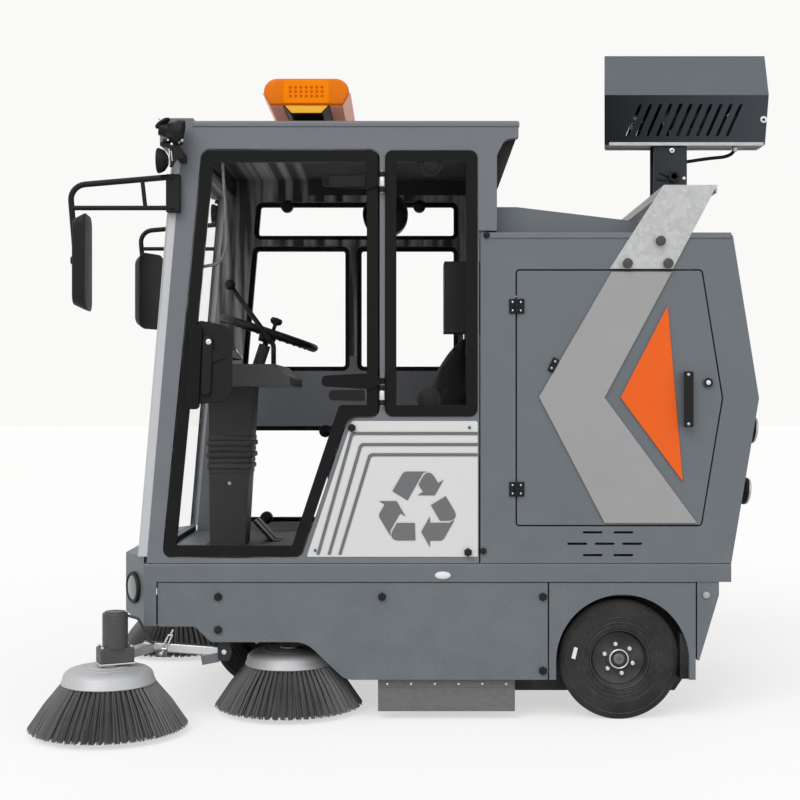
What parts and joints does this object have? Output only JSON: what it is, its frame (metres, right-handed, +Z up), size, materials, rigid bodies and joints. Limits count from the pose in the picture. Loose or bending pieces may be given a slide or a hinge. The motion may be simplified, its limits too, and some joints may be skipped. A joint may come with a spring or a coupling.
{
  "type": "electric road sweeper",
  "caption": "Three-wheeled ride-on road sweeper with an enclosed glazed cab, side and roller brushes, a rear housing with a dust bin, and a mist blower on an arch.",
  "frame": {"origin": "on the ground below the middle of the machine's bounding box", "axes": "-X towards the front, -Y towards the machine's left side with the cab door, +Z up"},
  "size_m": [2.57, 1.9298, 2.363],
  "materials": {
    "body_paint": "satin dark grey",
    "frame_black": "satin black",
    "panel_white": "semi-gloss white",
    "trim_silver": "satin silver",
    "seal_black": "matte black",
    "glass": "clear",
    "interior_black": "textured",
    "seat_black": "grained",
    "battery_grey": "moulded",
    "galvanised": "galvanised sheet",
    "spray_grey": "satin",
    "cup_silver": "satin",
    "bristle_black": "coarse bristles",
    "tyre_black": "rubber",
    "rim_grey": "satin",
    "amber": "moulded lens",
    "lamp_lens": "clear lens",
    "bin_steel": "plain sheet"
  },
  "bodies": {
    "chassis": {"chassis_frame": "frame_black", "deck": "body_paint", "nose_panel": "body_paint", "side_skirts": "body_paint", "rear_apron": "body_paint", "cab_side_left": "body_paint", "cab_side_right": "body_paint", "cab_roof": "body_paint", "cab_back": "body_paint", "windshield": "glass", "screen_trims": "trim_silver", "window_frames": "seal_black", "side_windows": "glass", "side_panel": "panel_white", "seat_base": "interior_black", "battery_pack": "battery_grey", "seat_cushion": "seat_black", "seat_backrest": "seat_black", "dash_console": "interior_black", "pedals": "frame_black", "hand_lever": "frame_black", "cab_fan": "interior_black", "control_box": "interior_black", "housing_sides": "body_paint", "housing_back": "body_paint", "housing_top": "body_paint", "dust_bin": "bin_steel", "support_arch": "galvanised", "spray_post": "galvanised", "rear_axle": "frame_black", "brush_drives": "frame_black", "brush_hood": "galvanised", "chamber_sheets": "galvanised", "light_bar": "amber", "work_lamps": "frame_black", "mirrors": "seal_black", "headlamps": "lamp_lens", "tail_lamps": "lamp_lens"},
    "steering_fork": {"front_fork": "frame_black"},
    "front_wheel": {"front_rim": "rim_grey", "front_tyre": "tyre_black"},
    "rear_wheel_left": {"rear_rim_left": "rim_grey", "rear_tyre_left": "tyre_black"},
    "rear_wheel_right": {"rear_rim_right": "rim_grey", "rear_tyre_right": "tyre_black"},
    "steering_wheel": {"steering_wheel": "interior_black"},
    "main_roller": {"main_roller": "bristle_black"},
    "mid_brush_left": {"mid_brush_left": "bristle_black"},
    "mid_brush_right": {"mid_brush_right": "bristle_black"},
    "front_arm_left": {"front_arm_left": "frame_black"},
    "front_arm_right": {"front_arm_right": "frame_black"},
    "front_brush_left": {"front_brush_left": "bristle_black"},
    "front_brush_right": {"front_brush_right": "bristle_black"},
    "cab_door": {"cab_door": "seal_black", "cab_door_glass": "glass"},
    "service_door_left": {"service_door_left": "body_paint"},
    "service_door_right": {"service_door_right": "body_paint"},
    "rear_hatch": {"rear_hatch": "body_paint"},
    "spray_unit": {"spray_box": "spray_grey", "spray_cable": "seal_black"}
  },
  "joints": [
    {"name": "steer", "type": "hinge", "parent": "chassis", "child": "steering_fork", "pos_m": [-0.6, 0, 0.43], "axis": [0, 0, 1], "range_deg": [-45, 45]},
    {"name": "front_wheel_spin", "type": "hinge", "parent": "steering_fork", "child": "front_wheel", "pos_m": [-0.579, 0, 0.202], "axis": [0, 1, 0], "continuous": true},
    {"name": "rear_wheel_left_spin", "type": "hinge", "parent": "chassis", "child": "rear_wheel_left", "pos_m": [0.66, -0.5, 0.202], "axis": [0, 1, 0], "continuous": true},
    {"name": "rear_wheel_right_spin", "type": "hinge", "parent": "chassis", "child": "rear_wheel_right", "pos_m": [0.66, 0.5, 0.202], "axis": [0, 1, 0], "continuous": true},
    {"name": "steering_wheel_turn", "type": "hinge", "parent": "chassis", "child": "steering_wheel", "pos_m": [-0.573, 0, 1.329], "axis": [0.3156, 0, 0.9489], "range_deg": [-180, 180]},
    {"name": "main_roller_spin", "type": "hinge", "parent": "chassis", "child": "main_roller", "pos_m": [0.08, 0, 0.196], "axis": [0, 1, 0], "continuous": true},
    {"name": "mid_brush_left_spin", "type": "hinge", "parent": "chassis", "child": "mid_brush_left", "pos_m": [-0.466, -0.385, 0.165], "axis": [0, 0, 1], "continuous": true},
    {"name": "mid_brush_right_spin", "type": "hinge", "parent": "chassis", "child": "mid_brush_right", "pos_m": [-0.466, 0.385, 0.165], "axis": [0, 0, 1], "continuous": true},
    {"name": "front_arm_left_lift", "type": "hinge", "parent": "chassis", "child": "front_arm_left", "pos_m": [-0.671, -0.526, 0.228], "axis": [0, 1, 0], "range_deg": [-2, 10]},
    {"name": "front_arm_right_lift", "type": "hinge", "parent": "chassis", "child": "front_arm_right", "pos_m": [-0.671, 0.526, 0.228], "axis": [0, 1, 0], "range_deg": [-2, 10]},
    {"name": "front_brush_left_spin", "type": "hinge", "parent": "front_arm_left", "child": "front_brush_left", "pos_m": [-1.026, -0.706, 0.165], "axis": [0, 0, 1], "continuous": true},
    {"name": "front_brush_right_spin", "type": "hinge", "parent": "front_arm_right", "child": "front_brush_right", "pos_m": [-1.026, 0.706, 0.165], "axis": [0, 0, 1], "continuous": true},
    {"name": "cab_door_hinge", "type": "hinge", "parent": "chassis", "child": "cab_door", "pos_m": [-0.138, -0.593, 1.473], "axis": [0, 0, 1], "range_deg": [0, 85]},
    {"name": "service_door_left_hinge", "type": "hinge", "parent": "chassis", "child": "service_door_left", "pos_m": [0.31, -0.589, 1.083], "axis": [0, 0, -1], "range_deg": [0, 110]},
    {"name": "service_door_right_hinge", "type": "hinge", "parent": "chassis", "child": "service_door_right", "pos_m": [0.31, 0.589, 1.083], "axis": [0, 0, 1], "range_deg": [0, 110]},
    {"name": "rear_hatch_hinge", "type": "hinge", "parent": "chassis", "child": "rear_hatch", "pos_m": [1.05112, 0, 1.58024], "axis": [0, -1, 0], "range_deg": [0, 75]},
    {"name": "spray_unit_tilt", "type": "hinge", "parent": "chassis", "child": "spray_unit", "pos_m": [0.943, 0, 1.91], "axis": [0, 1, 0], "range_deg": [-12, 12]}
  ],
  "couplings": [
    {"joint": "steering_wheel_turn", "follows": "steer", "ratio": 4}
  ]
}
